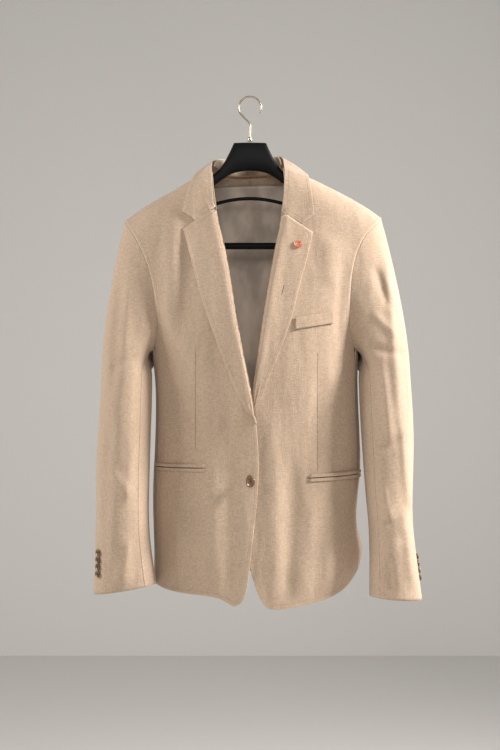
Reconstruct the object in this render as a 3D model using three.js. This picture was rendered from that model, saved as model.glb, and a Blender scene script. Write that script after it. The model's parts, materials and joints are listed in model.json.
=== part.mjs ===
// A single-breasted jacket with notch lapels, hanging open on a wide-shoulder suit hanger.
// Millimetres. +Z is up, the front faces -Y, and +X is the wearer's left.
// The origin is the inside of the hook's crown, where the hanger rests on its rail.
import * as THREE from 'three';

// ---------------------------------------------------------------- driving dimensions
const CLOTH = 1.6; // wall of the body, sleeves and collar
const LAPEL_WALL = 2.2; // turned-back front and its facing, pressed together
const LINING_WALL = 1.0;
const SEAM_GAP = 0.5; // between pieces that are sewn together
const LAY_GAP = 0.8; // between a piece and the panel that it lies on
const SLEEVE_SEAM_GAP = { front: 1, behind: 3 }; // between an armhole and its sleeve head
const SHOULDER_ROLL = 50; // height over which front and back curve in to the shoulder seam
const ROLL_START = 0.8; // share of a column's rows that lie below that curve
const PLAN_POWER = 2.4; // squareness of a horizontal section; 2 is an ellipse
const SIDE_SEAM = 74; // degrees from centre front to the front side seam
const BACK_SEAM = 126; // degrees from centre front to the back side seam
const SHOULDER_POINT = -215; // height of the ends of the shoulder seams
const MEAN_RADIUS = 170; // of the body, for turning a seam's gap into an angle
const ARMHOLE_FADE = 26; // height over which the side seams bend out into the armholes
const LEAN_STEP = 0.002; // step for slopes of a surface

// Half-widths and depths of the body's horizontal sections.
const BODY = [
  { z: -900, right: 168, left: 178, front: 106, back: 100 },
  { z: -850, right: 169, left: 187, front: 105, back: 98 },
  { z: -790, right: 168, left: 197, front: 102, back: 94 },
  { z: -735, right: 170, left: 185, front: 98, back: 89 },
  { z: -690, right: 171, left: 190, front: 95, back: 85 },
  { z: -650, right: 169, left: 195, front: 93, back: 81 },
  { z: -600, right: 166, left: 193, front: 92, back: 78 },
  { z: -540, right: 165, left: 190, front: 94, back: 80 },
  { z: -480, right: 166, left: 188, front: 97, back: 84 },
  { z: -440, right: 173, left: 190, front: 98, back: 86 },
  { z: -400, right: 186, left: 199, front: 95, back: 86 },
  { z: -340, right: 205, left: 215, front: 87, back: 82 },
  { z: -280, right: 222, left: 232, front: 76, back: 74 },
  { z: -215, right: 236, left: 248, front: 62, back: 60 },
  { z: -90, right: 236, left: 248, front: 52, back: 50 },
];

// Height of the shoulder seam across the body.
const SHOULDER = [
  { x: -236, z: -224 },
  { x: -221, z: -217 },
  { x: -205, z: -207 },
  { x: -177, z: -187 },
  { x: -136, z: -165 },
  { x: -107, z: -147 },
  { x: -70, z: -131 },
  { x: 0, z: -122 },
  { x: 62, z: -124 },
  { x: 96, z: -137 },
  { x: 140, z: -158 },
  { x: 180, z: -179 },
  { x: 205, z: -194 },
  { x: 232, z: -213 },
  { x: 248, z: -222 },
];

// Height of the hem round the body; turn is in degrees from centre front.
const HEM = [
  { turn: -180, z: -842 },
  { turn: -120, z: -836 },
  { turn: -90, z: -838 },
  { turn: -68, z: -847 },
  { turn: -48, z: -853 },
  { turn: -30, z: -856 },
  { turn: -18, z: -860 },
  { turn: -12, z: -870 },
  { turn: -8, z: -874 },
  { turn: 9, z: -877 },
  { turn: 14, z: -880 },
  { turn: 23, z: -876 },
  { turn: 37, z: -870 },
  { turn: 52, z: -859 },
  { turn: 64, z: -845 },
  { turn: 73, z: -824 },
  { turn: 90, z: -789 },
  { turn: 115, z: -806 },
  { turn: 145, z: -830 },
  { turn: 180, z: -842 },
];

// Front edge below the break and roll line above it, from the hem to the neck.
const RIGHT_EDGE = [
  { z: -874, x: -25 },
  { z: -868, x: -15 },
  { z: -861, x: -10 },
  { z: -851, x: -6 },
  { z: -838, x: -4 },
  { z: -813, x: -1 },
  { z: -785, x: 2 },
  { z: -746, x: 7 },
  { z: -700, x: 13 },
  { z: -661, x: 15 },
  { z: -620, x: 16 },
  { z: -590, x: 14 },
  { z: -561, x: 10 },
  { z: -528, x: 6 },
  { z: -494, x: -1 },
  { z: -410, x: -18 },
  { z: -343, x: -29 },
  { z: -306, x: -34 },
  { z: -259, x: -44 },
  { z: -213, x: -55 },
  { z: -172, x: -61 },
  { z: -125, x: -66 },
];
const LEFT_EDGE = [
  { z: -877, x: 29 },
  { z: -867, x: 20 },
  { z: -853, x: 13 },
  { z: -833, x: 6 },
  { z: -811, x: 0 },
  { z: -784, x: -5 },
  { z: -746, x: -8 },
  { z: -660, x: -8 },
  { z: -590, x: -5 },
  { z: -549, x: 1 },
  { z: -494, x: 6 },
  { z: -410, x: 18 },
  { z: -339, x: 29 },
  { z: -285, x: 39 },
  { z: -234, x: 49 },
  { z: -192, x: 56 },
  { z: -157, x: 59 },
  { z: -120, x: 57 },
];

// Outer edge of each lapel, from the break up to its point.
const RIGHT_LAPEL = [
  { z: -571, x: 8 },
  { z: -549, x: -5 },
  { z: -523, x: -20 },
  { z: -494, x: -32 },
  { z: -410, x: -64 },
  { z: -361, x: -81 },
  { z: -320, x: -93 },
  { z: -272, x: -105 },
  { z: -236, x: -114 },
];
const LEFT_LAPEL = [
  { z: -556, x: 8 },
  { z: -546, x: 12 },
  { z: -494, x: 31 },
  { z: -449, x: 49 },
  { z: -407, x: 65 },
  { z: -385, x: 72 },
  { z: -341, x: 82 },
  { z: -309, x: 91 },
  { z: -285, x: 98 },
  { z: -242, x: 107 },
];
// Gorge line of each lapel: roll line, notch and lapel point.
const GORGE = {
  right: { roll: { x: -62, z: -197 }, notch: { x: -94, z: -221 }, point: { x: -114, z: -236 } },
  left: { roll: { x: 56, z: -206 }, notch: { x: 87, z: -228 }, point: { x: 107, z: -242 } },
};
const NOTCH_DIP = 16.5; // how far the collar's front end comes down to the notch
const COLLAR_END = 0.09; // share of the collar's length over which it bends down to the notch
const NOTCH_SHARE = 0.62; // part of a lapel's top edge that lies along the gorge seam

// The front and back of each armhole: half-width of the body between the seams.
const ARMHOLE = [
  { z: -445, rightFront: 157, leftFront: 171, rightBack: 137, leftBack: 150 },
  { z: -412, rightFront: 157, leftFront: 170, rightBack: 162, leftBack: 175 },
  { z: -370, rightFront: 161, leftFront: 170, rightBack: 178, leftBack: 189 },
  { z: -336, rightFront: 165, leftFront: 172, rightBack: 184, leftBack: 194 },
  { z: -302, rightFront: 174, leftFront: 176, rightBack: 191, leftBack: 199 },
  { z: -273, rightFront: 185, leftFront: 184, rightBack: 198, leftBack: 206 },
  { z: -246, rightFront: 200, leftFront: 197, rightBack: 207, leftBack: 214 },
  { z: -213, rightFront: 221, leftFront: 230, rightBack: 221, leftBack: 230 },
];
const UNDERARM = { z: -441, dip: 3 }; // height of the side panels' top edge, lower in the middle
const SHOULDER_TURN = { right: 69.5, left: 68 }; // degrees at the shoulder point

// Sleeve rings below the underarm: outer and inner edges, and the middle and half of the depth.
const RIGHT_SLEEVE = [
  { z: -490, outer: 257, inner: 168, middle: -33, depth: 62 },
  { z: -563, outer: 260, inner: 169, middle: -40, depth: 60 },
  { z: -638, outer: 265, inner: 171, middle: -46, depth: 57 },
  { z: -700, outer: 264, inner: 172, middle: -50, depth: 54 },
  { z: -747, outer: 264, inner: 172, middle: -54, depth: 50 },
  { z: -800, outer: 265, inner: 166, middle: -59, depth: 44 },
  { z: -849, outer: 267, inner: 158, middle: -63, depth: 38 },
];
const LEFT_SLEEVE = [
  { z: -494, outer: 277, inner: 187, middle: -33, depth: 62 },
  { z: -560, outer: 281, inner: 189, middle: -40, depth: 60 },
  { z: -627, outer: 281, inner: 193, middle: -46, depth: 57 },
  { z: -690, outer: 278, inner: 197, middle: -51, depth: 55 },
  { z: -740, outer: 278, inner: 202, middle: -56, depth: 52 },
  { z: -800, outer: 285, inner: 203, middle: -61, depth: 48 },
  { z: -863, outer: 293, inner: 202, middle: -66, depth: 44 },
];
const SLEEVES = {
  right: { sign: -1, rings: RIGHT_SLEEVE, hindAtCuff: 0.99, buttonTurn: 0.1, cuffRise: 9 },
  left: { sign: 1, rings: LEFT_SLEEVE, hindAtCuff: 0.93, buttonTurn: -0.02, cuffRise: 3 },
};
const HEAD_ROWS = 0.4; // share of a sleeve's rows that make its head
const FRONT_SEAM_TURN = 0.36; // share of the way round a sleeve, from its outer side forwards
const HIND_SEAM_TURN = 0.76;

// Collar sections from the right gorge round the neck to the left gorge.
const COLLAR = [
  { fold: [-62, -60, -197], edge: [-116, -57, -207], seam: [-66, -53, -190], swell: 0.5 },
  { fold: [-64, -46, -168], edge: [-109, -48, -178], seam: [-69, -42, -165], swell: 1.5 },
  { fold: [-66, -20, -130], edge: [-98, -22, -143], seam: [-67, -14, -126], swell: 2.5 },
  { fold: [-64, 4, -112], edge: [-92, 8, -136], seam: [-61, 8, -124], swell: 2.5 },
  { fold: [-46, 32, -104], edge: [-70, 49, -147], seam: [-44, 29, -133], swell: 2.5 },
  { fold: [0, 47, -102], edge: [0, 62, -150], seam: [0, 42, -134], swell: 2.5 },
  { fold: [42, 32, -100], edge: [66, 49, -143], seam: [40, 29, -130], swell: 2.5 },
  { fold: [55, 4, -106], edge: [96, 8, -133], seam: [52, 8, -118], swell: 2.5 },
  { fold: [59, -20, -130], edge: [101, -22, -145], seam: [60, -14, -124], swell: 2.5 },
  { fold: [58, -46, -166], edge: [105, -48, -171], seam: [63, -42, -163], swell: 1.5 },
  { fold: [56, -60, -206], edge: [110, -57, -212], seam: [61, -53, -198], swell: 0.5 },
];

const HIP_POCKETS = [
  { side: 'right', from: -27, to: -77, z: -643, rise: 0 },
  { side: 'left', from: 31, to: 78, z: -660, rise: 5 },
];
const JET = { height: 5.5, spread: 7, wall: 0.8 };
const BREAST_WELT = { from: 76, to: 142, z: -399, rise: 11, height: 19.5, wall: 1.6 };
const FRONT_BUTTON = { x: 2, z: -663, radius: 11, thick: 3.6, lift: 11, tilt: 0.9 };
const CUFF_BUTTON = { radius: 5.6, thick: 2.8, step: 11.8, count: 4, above: 34 };
const LAPEL_PIN = { x: 82, z: -264, radius: 7, thick: 3 };

const HOOK = { radius: 19.5, wire: 1.6, shankTop: -47, shankFoot: -77 };
const FERRULE = { radius: 4.2, height: 7 };
// Sections of the hanger's moulded body across its width.
const HANGER = [
  { x: 0, top: -78, foot: -127, depth: 13 },
  { x: 28, top: -79, foot: -132, depth: 13 },
  { x: 36, top: -97, foot: -136, depth: 12.5 },
  { x: 46, top: -116, foot: -142, depth: 12.5 },
  { x: 60, top: -135, foot: -153, depth: 13 },
  { x: 100, top: -156, foot: -178, depth: 16 },
  { x: 150, top: -182, foot: -204, depth: 20 },
  { x: 190, top: -207, foot: -228, depth: 22 },
  { x: 206, top: -219, foot: -232, depth: 17 },
];
const BRACE = { wire: 3.3, apex: -177, drop: 0.0026, reach: 88, rise: 8 };
const TROUSER_BAR = { wire: 6.3, z: -260, reach: 168, bend: 16, top: -220 };

const CLOTH_COLOUR = '#b79674';
const SHADE_CLOTH_COLOUR = '#ab8a68';
const LINING_COLOUR = '#a58f79';
const HORN_COLOUR = '#5b412a';
const CORAL_COLOUR = '#c0684c';
const BLACK_COLOUR = '#0c0d0f';
const STEEL_COLOUR = '#8c8a85';

// ---------------------------------------------------------------- tables and small sums
const radians = THREE.MathUtils.degToRad;
const blend = THREE.MathUtils.lerp;
const ease = THREE.MathUtils.smoothstep;

// A column of a table at a place between its rows, on a smooth curve through them.
function along(rows, axis, column, at) {
  const rising = rows[rows.length - 1][axis] > rows[0][axis];
  const order = rising ? rows : [...rows].reverse();
  const last = order.length - 1;
  const place = Math.min(Math.max(at, order[0][axis]), order[last][axis]);
  let index = 0;
  while (index < last - 1 && place > order[index + 1][axis]) {
    index += 1;
  }
  const slope = (row) => {
    const before = order[Math.max(row - 1, 0)];
    const after = order[Math.min(row + 1, last)];
    return (after[column] - before[column]) / (after[axis] - before[axis]);
  };
  const low = order[index];
  const high = order[index + 1];
  const span = high[axis] - low[axis];
  const share = (place - low[axis]) / span;
  const square = share * share;
  const cube = square * share;
  return (2 * cube - 3 * square + 1) * low[column]
    + (cube - 2 * square + share) * span * slope(index)
    + (3 * square - 2 * cube) * high[column]
    + (cube - square) * span * slope(index + 1);
}

// ---------------------------------------------------------------- walls from surfaces
const spaced = (count, share) => Array.from({ length: count + 1 }, (_, index) => share(index / count));

// A closed mesh; its triangles are turned round if they enclose a negative volume.
function closedBody(points, triangles) {
  let volume = 0;
  const cross = new THREE.Vector3();
  for (const [a, b, c] of triangles) {
    volume += points[a].dot(cross.crossVectors(points[b], points[c]));
  }
  const faces = volume < 0 ? triangles.map(([a, b, c]) => [a, c, b]) : triangles;
  const geometry = new THREE.BufferGeometry();
  const places = points.flatMap((point) => point.toArray());
  geometry.setAttribute('position', new THREE.Float32BufferAttribute(places, 3));
  geometry.setIndex(faces.flat());
  return geometry;
}

// Two grids of points joined by the strip round their rims.
function doubleGrid(outer, inner) {
  const rows = outer.length;
  const columns = outer[0].length;
  const points = [...outer.flat(), ...inner.flat()];
  const under = rows * columns;
  const at = (row, column) => row * columns + column;
  const triangles = [];
  const quad = (a, b, c, d) => triangles.push([a, b, c], [a, c, d]);
  for (let row = 0; row < rows - 1; row += 1) {
    for (let column = 0; column < columns - 1; column += 1) {
      const corners = [at(row, column), at(row, column + 1), at(row + 1, column + 1), at(row + 1, column)];
      quad(...corners);
      quad(...corners.map((corner) => corner + under).reverse());
    }
  }
  const rim = [];
  for (let column = 0; column < columns - 1; column += 1) rim.push(at(0, column));
  for (let row = 0; row < rows - 1; row += 1) rim.push(at(row, columns - 1));
  for (let column = columns - 1; column > 0; column -= 1) rim.push(at(rows - 1, column));
  for (let row = rows - 1; row > 0; row -= 1) rim.push(at(row, 0));
  rim.forEach((corner, index) => {
    const next = rim[(index + 1) % rim.length];
    quad(next, corner, corner + under, next + under);
  });
  return closedBody(points, triangles);
}

// Unit normal of a surface on the side of a guide direction.
function normalAt(surface, u, v, guide) {
  const across = surface(u + LEAN_STEP, v).sub(surface(u - LEAN_STEP, v));
  const up = surface(u, v + LEAN_STEP).sub(surface(u, v - LEAN_STEP));
  const normal = across.cross(up).normalize();
  return normal.dot(guide) < 0 ? normal.negate() : normal;
}

// A wall on a surface of two shares: its outer face stands lift outside the surface.
function wall(surface, { columns, rows, thick = CLOTH, lift = 0, guide, uStops, vStops }) {
  const across = uStops ?? spaced(columns, (share) => share);
  const up = vStops ?? spaced(rows, (share) => share);
  const outer = [];
  const inner = [];
  up.forEach((v, row) => {
    outer.push([]);
    inner.push([]);
    for (const u of across) {
      const point = surface(u, v);
      const normal = normalAt(surface, u, v, guide(point));
      const height = typeof lift === 'function' ? lift(u, v) : lift;
      outer[row].push(point.clone().addScaledVector(normal, height));
      inner[row].push(point.clone().addScaledVector(normal, height - thick));
    }
  });
  return doubleGrid(outer, inner);
}

// ---------------------------------------------------------------- the body's surface
const bodyWidth = (turn, z) => along(BODY, 'z', turn < 0 ? 'right' : 'left', z);
const bodyDepth = (turn, z) => along(BODY, 'z', Math.abs(turn) < 90 ? 'front' : 'back', z);
const turnOf = (x, z) => THREE.MathUtils.radToDeg(Math.asin(Math.min(1, Math.max(-1, x / bodyWidth(x, z)))));
const shoulderHeight = (turn) => {
  const x = bodyWidth(turn, SHOULDER_POINT) * Math.sin(radians(turn));
  return along(SHOULDER, 'x', 'z', x);
};
const awayFromAxis = (point) => {
  const upwards = 0.01 + Math.max(0, point.z - SHOULDER_POINT + 15) / 3;
  return new THREE.Vector3(point.x, point.y * 2, upwards);
};

// A point of the body at a turn from centre front; close is 1 below the shoulder and 0 at its seam.
function bodyPoint(turn, z, close) {
  const side = Math.sin(radians(turn));
  const fill = Math.pow(Math.max(0, 1 - Math.pow(Math.abs(side), PLAN_POWER)), 1 / PLAN_POWER);
  const y = (Math.abs(turn) < 90 ? -1 : 1) * bodyDepth(turn, z) * fill * close;
  return new THREE.Vector3(bodyWidth(turn, z) * side, y, z);
}

// Height and closing of a column at a share of its way up from a foot height.
function columnAt(turn, share, foot) {
  const top = shoulderHeight(turn);
  if (share <= ROLL_START) {
    return { z: blend(foot, top - SHOULDER_ROLL, share / ROLL_START), close: 1 };
  }
  const curve = ((share - ROLL_START) / (1 - ROLL_START)) * (Math.PI / 2);
  return { z: top - SHOULDER_ROLL * (1 - Math.sin(curve)), close: Math.cos(curve) };
}

// How far the overlapping right front stands off the left front.
const overlapLift = (x, z) => {
  const near = ease(x, -46, -8);
  const high = 10 * ease(z, -600, -565) * (1 - ease(z, -500, -430));
  const low = 4 * (1 - ease(z, -600, -565));
  return near * (high + low);
};

// A point of a front panel's face at a place in front view.
function onFront(x, z, lift) {
  const turn = turnOf(x, z);
  const drop = Math.max(0, shoulderHeight(turn) - z);
  const close = drop > SHOULDER_ROLL ? 1 : Math.sqrt(Math.max(0, 1 - (1 - drop / SHOULDER_ROLL) ** 2));
  const point = bodyPoint(turn, z, close);
  point.y -= lift;
  return point;
}

const SIDES = { right: -1, left: 1 };
const NECK_CUT = 0.1; // share of a back column that the neckline cuts off at centre back
const hemAt = (turn) => along(HEM, 'turn', 'z', turn);

// Turn of an armhole edge at a height, on the front or the back.
function armholeTurn(side, face, z) {
  const x = SIDES[side] * along(ARMHOLE, 'z', `${side}${face}`, z);
  const turn = turnOf(x, z);
  return face === 'Front' ? turn : SIDES[side] * 180 - turn;
}

// Height at a share up a panel's edge whose turn depends on that height.
function settleEdge(share, firstTurn, turnAt) {
  let turn = firstTurn;
  let place = columnAt(turn, share, hemAt(turn));
  for (let pass = 0; pass < 6; pass += 1) {
    turn = turnAt(place.z);
    place = columnAt(turn, share, hemAt(turn));
  }
  return turn;
}

// The outer edge of a front or back panel: side seam up to the underarm, then the armhole.
function outerTurn(side, face, share) {
  const seam = SIDES[side] * (face === 'Front' ? SIDE_SEAM : BACK_SEAM);
  const point = SIDES[side] * (face === 'Front' ? SHOULDER_TURN[side] : 180 - SHOULDER_TURN[side]);
  const first = blend(seam, point, share);
  return settleEdge(share, first, (z) => {
    const armhole = armholeTurn(side, face, z);
    return blend(seam, armhole, ease(z, UNDERARM.z, UNDERARM.z + ARMHOLE_FADE));
  });
}

const gapTurn = (gap, turn) => THREE.MathUtils.radToDeg(gap / MEAN_RADIUS) * Math.sign(turn);

// A front panel from its edge or roll line to the side seam and armhole.
function frontSurface(side) {
  const edge = side === 'right' ? RIGHT_EDGE : LEFT_EDGE;
  const first = side === 'right' ? -8 : 9;
  return (u, v) => {
    const inner = settleEdge(v, first, (z) => turnOf(along(edge, 'z', 'x', z), z));
    const outer = outerTurn(side, 'Front', v) - gapTurn(SEAM_GAP / 2, SIDES[side]);
    const turn = blend(inner, outer, u);
    const { z, close } = columnAt(turn, Math.min(v, 1), hemAt(turn));
    const point = bodyPoint(turn, z, close);
    point.y = Math.min(point.y, -SEAM_GAP * 0.6);
    if (side === 'right') {
      point.y -= overlapLift(point.x, z);
    }
    return point;
  };
}

// A back panel from the centre-back seam to the side seam and armhole, cut down at the neck.
function backSurface(side, gap) {
  return (u, v) => {
    const outer = outerTurn(side, 'Back', v) + gapTurn(SEAM_GAP / 2, SIDES[side]);
    const centre = SIDES[side] * 180 - gapTurn(gap, SIDES[side]);
    const turn = blend(centre, outer, u);
    const neck = 1 - NECK_CUT * (1 - ease(Math.abs(180 - Math.abs(turn)), 8, 21));
    const { z, close } = columnAt(turn, Math.min(v, 1) * neck, hemAt(turn));
    const point = bodyPoint(turn, z, close);
    point.y = Math.max(point.y, SEAM_GAP * 0.6);
    return point;
  };
}

const underarmHeight = (turn) => {
  const share = (Math.abs(turn) - SIDE_SEAM) / (BACK_SEAM - SIDE_SEAM);
  return UNDERARM.z - UNDERARM.dip * Math.sin(Math.PI * Math.min(1, Math.max(0, share)));
};

function sideSurface(side) {
  return (u, v) => {
    const gap = gapTurn(SEAM_GAP / 2, SIDES[side]);
    const turn = blend(SIDES[side] * SIDE_SEAM + gap, SIDES[side] * BACK_SEAM - gap, u);
    return bodyPoint(turn, blend(hemAt(turn), underarmHeight(turn), v), 1);
  };
}

// Rows from the hem to the underarm, closer together round the curve of the hem.
const BELOW_STOPS = [0, 0.012, 0.03, 0.055, 0.09, 0.15, 0.26, 0.4, 0.55, 0.7, 0.85, 1];
// Columns of a front, closer together round its lower corner.
const FRONT_STOPS = [0, 0.035, 0.08, 0.14, 0.23, 0.36, 0.52, 0.68, 0.84, 1];
const PANEL_ROWS = { above: 7, roll: 5 };
// Rows of a panel: one lies level with the underarm, and they are closer over the shoulder.
function panelStops(side, face) {
  const turn = SIDES[side] * (face === 'Front' ? SIDE_SEAM : BACK_SEAM);
  const foot = hemAt(turn);
  const top = shoulderHeight(turn) - SHOULDER_ROLL;
  const underarm = (ROLL_START * (UNDERARM.z - foot)) / (top - foot);
  return [
    ...BELOW_STOPS.map((share) => share * underarm),
    ...spaced(PANEL_ROWS.above, (share) => blend(underarm, ROLL_START, share)).slice(1),
    ...spaced(PANEL_ROWS.roll, (share) => blend(ROLL_START, 1, share)).slice(1),
  ];
}

// ---------------------------------------------------------------- lapels and collar
// A lapel between its roll line and outer edge, on the face of its front panel.
function lapelSurface(side) {
  const edge = side === 'right' ? RIGHT_EDGE : LEFT_EDGE;
  const leaf = side === 'right' ? RIGHT_LAPEL : LEFT_LAPEL;
  const { roll, notch, point } = GORGE[side];
  const foot = leaf[0].z;
  return (u, v) => {
    const zInner = blend(foot, roll.z, v);
    const zOuter = blend(foot, point.z, v);
    const inner = { x: along(edge, 'z', 'x', zInner), z: zInner };
    const outer = { x: along(leaf, 'z', 'x', zOuter), z: zOuter };
    const middle = { x: blend(inner.x, outer.x, NOTCH_SHARE), z: blend(inner.z, outer.z, NOTCH_SHARE) };
    const pull = ease(v, 0.9, 1);
    middle.x += (notch.x - blend(roll.x, point.x, NOTCH_SHARE)) * pull;
    middle.z += (notch.z - blend(roll.z, point.z, NOTCH_SHARE)) * pull;
    const lower = u < NOTCH_SHARE;
    const from = lower ? inner : middle;
    const to = lower ? middle : outer;
    const share = lower ? u / NOTCH_SHARE : (u - NOTCH_SHARE) / (1 - NOTCH_SHARE);
    const place = { x: blend(from.x, to.x, share), z: blend(from.z, to.z, share) };
    const lay = LAY_GAP + LAPEL_WALL + 4.5 * Math.exp(-((u / 0.3) ** 2)) * ease(v, 0, 0.12);
    const overlap = side === 'right' ? overlapLift(place.x, place.z) : 0;
    return onFront(place.x, place.z, lay + overlap);
  };
}

const collarCurve = (column) => {
  const places = COLLAR.map((row) => new THREE.Vector3(...row[column]));
  return new THREE.CatmullRomCurve3(places);
};
const foldCurve = collarCurve('fold');
const edgeCurve = collarCurve('edge');
const seamCurve = collarCurve('seam');

const COLLAR_CLEARANCE = 4.5; // between the body's face and the collar's own
const FALL_LIFT = 2.2; // the fall stands this far outside the fold, and the stand inside it
const STAND_INSET = 3.2;
const STAND_SPAN = { from: 0.24, to: 0.76 }; // part of the collar's length that has a stand
// A point moved out, where needed, so that it stands clear of the fronts, backs and shoulder.
function clearOfBody(point) {
  const turn = turnOf(point.x, point.z);
  const top = shoulderHeight(turn) + COLLAR_CLEARANCE;
  const drop = top - point.z;
  if (drop <= 0) {
    return point;
  }
  const close = drop > SHOULDER_ROLL ? 1 : Math.sqrt(1 - (1 - drop / SHOULDER_ROLL) ** 2);
  const facing = point.y < 0 ? turn : Math.sign(turn || 1) * 180 - turn;
  const reach = Math.abs(bodyPoint(facing, point.z, close).y) + COLLAR_CLEARANCE * close;
  point.y = Math.sign(point.y || 1) * Math.max(Math.abs(point.y), reach);
  return point;
}

// The fall of the collar from its fold to its outer edge, swelling away from the neck.
function fallSurface(u, v) {
  const fold = foldCurve.getPoint(Math.min(1, Math.max(0, v)));
  const edge = edgeCurve.getPoint(Math.min(1, Math.max(0, v)));
  const row = Math.min(1, Math.max(0, v)) * (COLLAR.length - 1);
  const low = Math.min(COLLAR.length - 2, Math.floor(row));
  const swell = blend(COLLAR[low].swell, COLLAR[low + 1].swell, row - low);
  const point = fold.clone().lerp(edge, u);
  const end = 1 - ease(Math.min(v, 1 - v), 0, COLLAR_END);
  const notch = Math.min(Math.max(u, 0) / NOTCH_SHARE, (1 - Math.min(u, 1)) / (1 - NOTCH_SHARE));
  point.z -= NOTCH_DIP * end * notch;
  const along3 = edge.clone().sub(fold);
  const round = foldCurve.getTangent(Math.min(1, Math.max(0, v)));
  const out = along3.cross(round).normalize();
  const sign = out.dot(new THREE.Vector3(point.x, point.y, 60)) < 0 ? -1 : 1;
  point.addScaledVector(out, sign * (swell * Math.sin(Math.PI * u) + FALL_LIFT));
  return clearOfBody(point);
}

// The stand of the collar from the neck seam up to the fold.
function standSurface(u, v) {
  const share = blend(STAND_SPAN.from, STAND_SPAN.to, v);
  const seam = seamCurve.getPoint(share);
  const fold = foldCurve.getPoint(share);
  const point = seam.lerp(fold, u);
  const inward = new THREE.Vector3(-point.x, -point.y, 0).normalize();
  return point.addScaledVector(inward, STAND_INSET);
}

// ---------------------------------------------------------------- sleeves
// A point of an armhole at a share of the way round: 0 at the top, then front, underarm and back.
function armholePoint(side, turnShare) {
  const share = ((turnShare % 1) + 1) % 1;
  const sign = SIDES[side];
  if (share >= 0.4 && share <= 0.6) {
    const turn = sign * blend(SIDE_SEAM, BACK_SEAM, (share - 0.4) / 0.2);
    return bodyPoint(turn, underarmHeight(turn), 1);
  }
  const face = share < 0.5 ? 'Front' : 'Back';
  const way = share < 0.5 ? share / 0.4 : (1 - share) / 0.4;
  const seam = sign * (face === 'Front' ? SIDE_SEAM : BACK_SEAM);
  const topTurn = sign * (face === 'Front' ? SHOULDER_TURN[side] : 180 - SHOULDER_TURN[side]);
  const top = shoulderHeight(topTurn);
  const z = blend(top, UNDERARM.z, 0.5 - 0.5 * Math.cos(Math.PI * Math.pow(way, 0.85)));
  const armhole = armholeTurn(side, face, z);
  const turn = blend(seam, armhole, ease(z, UNDERARM.z, UNDERARM.z + ARMHOLE_FADE));
  const drop = Math.max(0, shoulderHeight(turn) - z);
  const close = drop > SHOULDER_ROLL ? 1 : Math.sqrt(Math.max(0, 1 - (1 - drop / SHOULDER_ROLL) ** 2));
  return bodyPoint(turn, z, close);
}

// A point of a sleeve ring at a share of the way round from its outer side forwards.
function ringPoint(sleeve, turnShare, z, rise) {
  const outer = along(sleeve.rings, 'z', 'outer', z);
  const inner = along(sleeve.rings, 'z', 'inner', z);
  const angle = turnShare * 2 * Math.PI;
  const x = (outer + inner) / 2 + ((outer - inner) / 2) * Math.cos(angle);
  const y = along(sleeve.rings, 'z', 'middle', z) - along(sleeve.rings, 'z', 'depth', z) * Math.sin(angle);
  return new THREE.Vector3(sleeve.sign * x, y, z - rise * Math.cos(angle));
}

// A sleeve from its armhole to its cuff: the head is a curve between armhole and first ring.
function sleeveSurface(side, turnAt) {
  const sleeve = SLEEVES[side];
  const firstRing = sleeve.rings[0].z;
  const cuff = sleeve.rings[sleeve.rings.length - 1].z;
  const headDrop = firstRing - UNDERARM.z;
  return (u, v) => {
    const turn = turnAt(u, v);
    if (v >= HEAD_ROWS) {
      const way = (v - HEAD_ROWS) / (1 - HEAD_ROWS);
      return ringPoint(sleeve, turn, blend(firstRing, cuff, way), sleeve.cuffRise * way);
    }
    const out = new THREE.Vector3(sleeve.sign, 0, 0);
    const down = Math.cos(turn * 2 * Math.PI);
    const start = armholePoint(side, turn);
    const behind = ease(0.5 - 0.5 * Math.sin(turn * 2 * Math.PI), 0.1, 0.5);
    start.addScaledVector(out, blend(SLEEVE_SEAM_GAP.front, SLEEVE_SEAM_GAP.behind, behind));
    const end = ringPoint(sleeve, turn, firstRing, 0);
    const reach = start.z - end.z;
    const leave = new THREE.Vector3(sleeve.sign * (16 + 26 * Math.abs(down)), 0, -reach * 0.55);
    const arrive = new THREE.Vector3(0, 0, Math.min(-reach, headDrop) * 0.95);
    const share = Math.max(0, v / HEAD_ROWS);
    const square = share * share;
    const cube = square * share;
    return start.multiplyScalar(2 * cube - 3 * square + 1)
      .addScaledVector(leave, cube - 2 * square + share)
      .addScaledVector(end, 3 * square - 2 * cube)
      .addScaledVector(arrive, cube - square);
  };
}

// Hind seam: it comes round from the back of the armhole to the outer side at the cuff.
const hindTurn = (side, v) => blend(HIND_SEAM_TURN, SLEEVES[side].hindAtCuff, ease(v, 0.2, 1));
const SEAM_TURN_GAP = 0.0006;
const topSleeveTurn = (side) => (u, v) => {
  const from = hindTurn(side, v) - 1 + SEAM_TURN_GAP;
  return blend(from, FRONT_SEAM_TURN - SEAM_TURN_GAP, u);
};
const underSleeveTurn = (side) => (u, v) => {
  const to = hindTurn(side, v) - SEAM_TURN_GAP;
  return blend(FRONT_SEAM_TURN + SEAM_TURN_GAP, to, u);
};
function awayFromSleeve(side) {
  const sleeve = SLEEVES[side];
  return (point) => {
    const z = Math.min(point.z, sleeve.rings[0].z);
    const middle = (along(sleeve.rings, 'z', 'outer', z) + along(sleeve.rings, 'z', 'inner', z)) / 2;
    const y = along(sleeve.rings, 'z', 'middle', z);
    const lift = Math.max(0, (point.z + 330) / 120) * 60;
    const high = ease(point.z, -460, -330);
    const axisX = sleeve.sign * blend(middle, 190, high);
    return new THREE.Vector3(point.x - axisX, point.y - blend(y, -8, high), lift);
  };
}

// ---------------------------------------------------------------- small pieces
// A strip on a front panel between two turns, at a height that rises towards the side.
function frontStrip({ from, to, z, rise, height }) {
  return (u, v) => {
    const turn = blend(from, to, u);
    const level = z + rise * u + height * (v - 0.5);
    const point = bodyPoint(turn, level, 1);
    if (point.x < 20) {
      point.y -= overlapLift(point.x, level);
    }
    return point;
  };
}

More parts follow.
